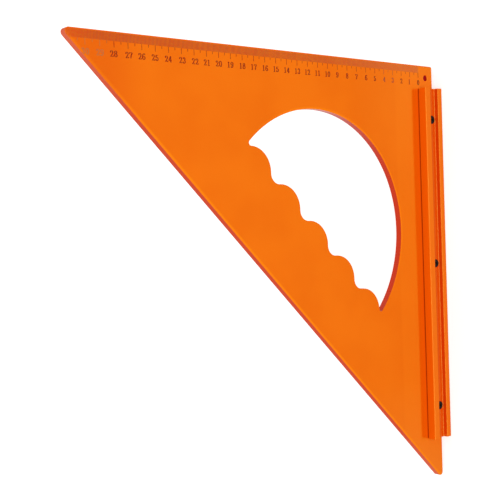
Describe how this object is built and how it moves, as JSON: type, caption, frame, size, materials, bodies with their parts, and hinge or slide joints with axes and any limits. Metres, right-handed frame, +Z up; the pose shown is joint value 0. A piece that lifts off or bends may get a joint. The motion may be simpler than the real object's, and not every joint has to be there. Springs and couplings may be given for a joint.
{
  "type": "graduated marking set square with fence",
  "caption": "Right-angled 45 degree marking square: graduated sheet blade with a hand opening, held in a slotted fence by countersunk screws and nuts.",
  "frame": {"origin": "centre of the fence's flat outer face, which the square stands on", "axes": "+X along the fence towards the right angle and the graduated edge, -Y out of the graduated front face, +Z up from the fence's outer face"},
  "size_m": [0.3296, 0.0194, 0.3331],
  "materials": {
    "blade_sheet": "polished orange acrylic sheet",
    "fence_extrusion": "extruded orange plastic, semi-gloss with faint lengthwise lines",
    "black_steel": "blackened steel, satin",
    "scale_ink": "printed dark maroon ink"
  },
  "bodies": {
    "root": {"blade": "blade_sheet", "fence": "fence_extrusion", "fence_screw_1": "black_steel", "fence_screw_2": "black_steel", "fence_screw_3": "black_steel", "fence_nut_1": "black_steel", "fence_nut_2": "black_steel", "fence_nut_3": "black_steel"}
  },
  "joints": []
}
